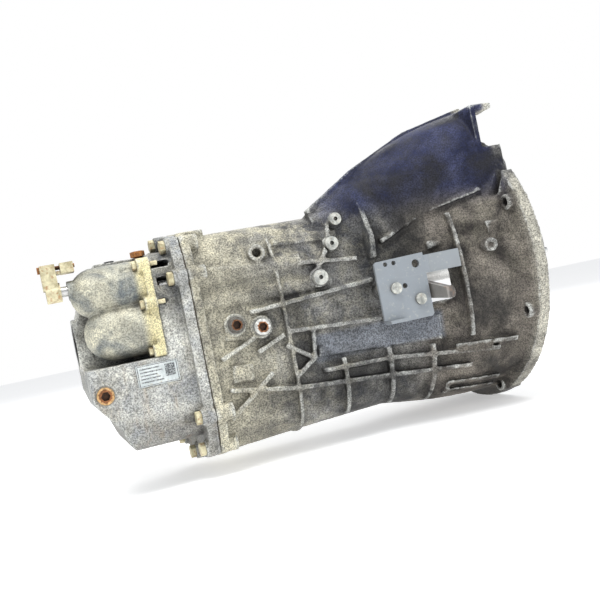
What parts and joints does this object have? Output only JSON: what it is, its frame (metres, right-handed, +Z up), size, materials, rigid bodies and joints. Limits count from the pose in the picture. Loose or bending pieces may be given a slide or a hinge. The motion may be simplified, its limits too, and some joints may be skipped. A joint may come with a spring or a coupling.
{
  "type": "manual transmission",
  "caption": "Manual gearbox with a bell housing, starter bulge, bracket plate, side selector cover and tail housing, with its gear train inside.",
  "frame": {"origin": "centre of the bell housing's engine face, on the input shaft's axis", "axes": "+X towards the engine along the input shaft, +Z up, the -Y side carries the plugs, bracket and selector cover"},
  "size_m": [0.635, 0.4, 0.4294],
  "materials": {
    "front_casting": "rough sand-cast, oily and dusty",
    "tail_casting": "rough sand-cast, dusty",
    "cover_casting": "smooth die-cast, dusty",
    "gear_steel": "ground, oiled",
    "shaft_steel": "turned, oiled",
    "race_steel": "polished",
    "fork_iron": "as cast, machined pads",
    "bolt_steel": "yellow-plated, weathered",
    "rusted_steel": "rusted",
    "plug_steel": "plated, dull",
    "bracket_zinc": "blue-grey zinc plate",
    "brass": "turned",
    "seal_rubber": "matt black",
    "gasket_fibre": "pressed fibre",
    "label_film": "blank printed film, scuffed",
    "breather_plastic": "matt black"
  },
  "bodies": {
    "root": {"front_case": "front_casting", "tail_case": "tail_casting", "selector_cover": "cover_casting", "case_gasket": "gasket_fibre", "case_bolts": "bolt_steel", "cover_bolts": "bolt_steel", "locating_dowels": "shaft_steel", "fill_plug": "plug_steel", "level_plug": "rusted_steel", "drain_plug": "rusted_steel", "plug_washers": "plug_steel", "detent_plugs": "plug_steel", "bracket_plate": "bracket_zinc", "bracket_bolts": "plug_steel", "ball_stud": "shaft_steel", "guide_sleeve": "shaft_steel", "guide_bolts": "bolt_steel", "input_seal": "seal_rubber", "tail_seal": "seal_rubber", "tail_bush": "brass", "breather": "breather_plastic", "label_plate": "label_film", "top_bolt": "rusted_steel", "idler_pin": "shaft_steel", "input_bearing_outer": "race_steel", "main_bearing_outer": "race_steel", "counter_bearing_outers": "race_steel"},
    "input_group": {"input_shaft": "gear_steel", "input_bearing_inner": "race_steel"},
    "main_group": {"main_shaft": "shaft_steel", "main_bearing_inner": "race_steel", "hub_12": "gear_steel", "hub_34": "gear_steel", "hub_5r": "gear_steel", "blocker_rings": "brass", "shaft_clips": "shaft_steel"},
    "counter_group": {"counter_shaft": "shaft_steel", "counter_gears": "gear_steel", "counter_bearing_inners": "race_steel"},
    "first_gear_group": {"first_gear": "gear_steel"},
    "second_gear_group": {"second_gear": "gear_steel"},
    "third_gear_group": {"third_gear": "gear_steel"},
    "fifth_gear_group": {"fifth_gear": "gear_steel"},
    "reverse_gear_group": {"reverse_gear": "gear_steel"},
    "idler_group": {"reverse_idler": "gear_steel"},
    "sleeve_12_group": {"sleeve_12": "gear_steel"},
    "sleeve_34_group": {"sleeve_34": "gear_steel"},
    "sleeve_5r_group": {"sleeve_5r": "gear_steel"},
    "rail_12_group": {"rail_12": "shaft_steel", "fork_12": "fork_iron"},
    "rail_34_group": {"rail_34": "shaft_steel", "fork_34": "fork_iron"},
    "rail_5r_group": {"rail_5r": "shaft_steel", "fork_5r": "fork_iron"},
    "selector_group": {"selector_rod": "shaft_steel", "selector_finger": "fork_iron", "selector_coupling": "bolt_steel", "coupling_pin": "rusted_steel"},
    "clutch_fork_group": {"clutch_fork": "fork_iron"},
    "release_group": {"release_bearing": "race_steel"}
  },
  "joints": [
    {"name": "counter_spin", "type": "hinge", "parent": "root", "child": "counter_group", "pos_m": [-0.33, 0, -0.084], "axis": [1, 0, 0], "continuous": true},
    {"name": "input_spin", "type": "hinge", "parent": "root", "child": "input_group", "pos_m": [-0.2, 0, 0], "axis": [1, 0, 0], "continuous": true},
    {"name": "output_spin", "type": "hinge", "parent": "root", "child": "main_group", "pos_m": [-0.33, 0, 0], "axis": [1, 0, 0], "continuous": true},
    {"name": "first_gear_spin", "type": "hinge", "parent": "root", "child": "first_gear_group", "pos_m": [-0.367, 0, 0], "axis": [1, 0, 0], "continuous": true},
    {"name": "second_gear_spin", "type": "hinge", "parent": "root", "child": "second_gear_group", "pos_m": [-0.308, 0, 0], "axis": [1, 0, 0], "continuous": true},
    {"name": "third_gear_spin", "type": "hinge", "parent": "root", "child": "third_gear_group", "pos_m": [-0.288, 0, 0], "axis": [1, 0, 0], "continuous": true},
    {"name": "fifth_gear_spin", "type": "hinge", "parent": "root", "child": "fifth_gear_group", "pos_m": [-0.389, 0, 0], "axis": [1, 0, 0], "continuous": true},
    {"name": "reverse_gear_spin", "type": "hinge", "parent": "root", "child": "reverse_gear_group", "pos_m": [-0.444, 0, 0], "axis": [1, 0, 0], "continuous": true},
    {"name": "idler_spin", "type": "hinge", "parent": "root", "child": "idler_group", "pos_m": [-0.444, 0.04772, -0.05819], "axis": [1, 0, 0], "continuous": true},
    {"name": "rail_12_slide", "type": "slide", "parent": "root", "child": "rail_12_group", "axis": [1, 0, 0], "range_m": [-0.007, 0.007]},
    {"name": "selector_slide", "type": "slide", "parent": "root", "child": "selector_group", "axis": [1, 0, 0], "range_m": [-0.007, 0.007]},
    {"name": "rail_34_slide", "type": "slide", "parent": "root", "child": "rail_34_group", "axis": [1, 0, 0], "range_m": [-0.007, 0.007]},
    {"name": "rail_5r_slide", "type": "slide", "parent": "root", "child": "rail_5r_group", "axis": [1, 0, 0], "range_m": [-0.007, 0.007]},
    {"name": "sleeve_12_slide", "type": "slide", "parent": "main_group", "child": "sleeve_12_group", "axis": [1, 0, 0], "range_m": [-0.007, 0.007]},
    {"name": "sleeve_34_slide", "type": "slide", "parent": "main_group", "child": "sleeve_34_group", "axis": [1, 0, 0], "range_m": [-0.007, 0.007]},
    {"name": "sleeve_5r_slide", "type": "slide", "parent": "main_group", "child": "sleeve_5r_group", "axis": [1, 0, 0], "range_m": [-0.007, 0.007]},
    {"name": "clutch_fork_swing", "type": "hinge", "parent": "root", "child": "clutch_fork_group", "pos_m": [-0.148, 0.082, 0], "axis": [0, 0, 1], "range_deg": [0, 4.8]},
    {"name": "release_slide", "type": "slide", "parent": "root", "child": "release_group", "axis": [1, 0, 0], "range_m": [0, 0.007]}
  ],
  "couplings": [
    {"joint": "input_spin", "follows": "counter_spin", "ratio": -1.5263},
    {"joint": "first_gear_spin", "follows": "counter_spin", "ratio": -0.37143},
    {"joint": "second_gear_spin", "follows": "counter_spin", "ratio": -0.6},
    {"joint": "third_gear_spin", "follows": "counter_spin", "ratio": -1},
    {"joint": "fifth_gear_spin", "follows": "counter_spin", "ratio": -2},
    {"joint": "idler_spin", "follows": "counter_spin", "ratio": -0.9375},
    {"joint": "reverse_gear_spin", "follows": "counter_spin", "ratio": 0.55556},
    {"joint": "rail_34_slide", "follows": "selector_slide", "ratio": 1},
    {"joint": "sleeve_34_slide", "follows": "selector_slide", "ratio": 1},
    {"joint": "sleeve_12_slide", "follows": "rail_12_slide", "ratio": 1},
    {"joint": "sleeve_5r_slide", "follows": "rail_5r_slide", "ratio": 1},
    {"joint": "release_slide", "follows": "clutch_fork_swing", "m_per_rad": 0.082}
  ]
}
